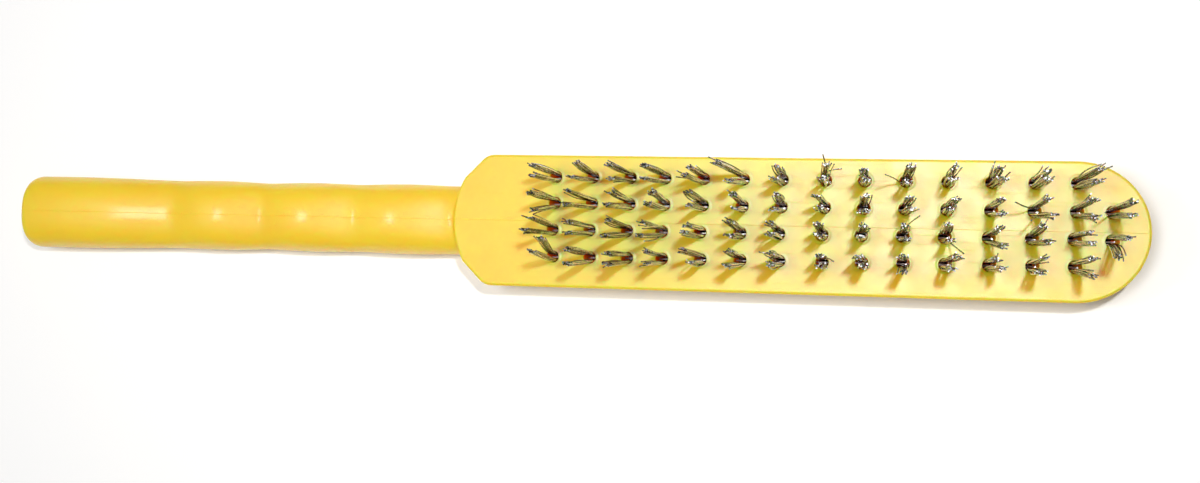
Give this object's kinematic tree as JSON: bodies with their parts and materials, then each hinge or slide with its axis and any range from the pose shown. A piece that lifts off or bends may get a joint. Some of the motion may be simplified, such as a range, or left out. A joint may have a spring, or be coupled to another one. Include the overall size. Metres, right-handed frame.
{
  "type": "wire scratch brush",
  "caption": "Hand scratch brush with a moulded plastic handle and block in one piece and upright tufts of steel wire for scraping off rust, paint and scale.",
  "frame": {"origin": "centre of the length and width at the flat back that the brush lies on", "axes": "+X along the brush from the handle to the round tip of the block, +Y across the block, +Z out of the face along the wire"},
  "size_m": [0.292, 0.0328, 0.038],
  "materials": {
    "yellow_plastic": "glossy, slightly translucent moulded plastic",
    "steel_wire": "drawn hard steel wire, dull and slightly brown"
  },
  "bodies": {
    "root": {"handle_and_block": "yellow_plastic", "tuft_row1_01": "steel_wire", "tuft_row1_02": "steel_wire", "tuft_row1_03": "steel_wire", "tuft_row1_04": "steel_wire", "tuft_row1_05": "steel_wire", "tuft_row1_06": "steel_wire", "tuft_row1_07": "steel_wire", "tuft_row1_08": "steel_wire", "tuft_row1_09": "steel_wire", "tuft_row1_10": "steel_wire", "tuft_row1_11": "steel_wire", "tuft_row1_12": "steel_wire", "tuft_row1_13": "steel_wire", "tuft_row1_14": "steel_wire", "tuft_row2_01": "steel_wire", "tuft_row2_02": "steel_wire", "tuft_row2_03": "steel_wire", "tuft_row2_04": "steel_wire", "tuft_row2_05": "steel_wire", "tuft_row2_06": "steel_wire", "tuft_row2_07": "steel_wire", "tuft_row2_08": "steel_wire", "tuft_row2_09": "steel_wire", "tuft_row2_10": "steel_wire", "tuft_row2_11": "steel_wire", "tuft_row2_12": "steel_wire", "tuft_row2_13": "steel_wire", "tuft_row2_14": "steel_wire", "tuft_row2_15": "steel_wire", "tuft_row3_01": "steel_wire", "tuft_row3_02": "steel_wire", "tuft_row3_03": "steel_wire", "tuft_row3_04": "steel_wire", "tuft_row3_05": "steel_wire", "tuft_row3_06": "steel_wire", "tuft_row3_07": "steel_wire", "tuft_row3_08": "steel_wire", "tuft_row3_09": "steel_wire", "tuft_row3_10": "steel_wire", "tuft_row3_11": "steel_wire", "tuft_row3_12": "steel_wire", "tuft_row3_13": "steel_wire", "tuft_row3_14": "steel_wire", "tuft_row3_15": "steel_wire", "tuft_row4_01": "steel_wire", "tuft_row4_02": "steel_wire", "tuft_row4_03": "steel_wire", "tuft_row4_04": "steel_wire", "tuft_row4_05": "steel_wire", "tuft_row4_06": "steel_wire", "tuft_row4_07": "steel_wire", "tuft_row4_08": "steel_wire", "tuft_row4_09": "steel_wire", "tuft_row4_10": "steel_wire", "tuft_row4_11": "steel_wire", "tuft_row4_12": "steel_wire", "tuft_row4_13": "steel_wire", "tuft_row4_14": "steel_wire"}
  },
  "joints": []
}
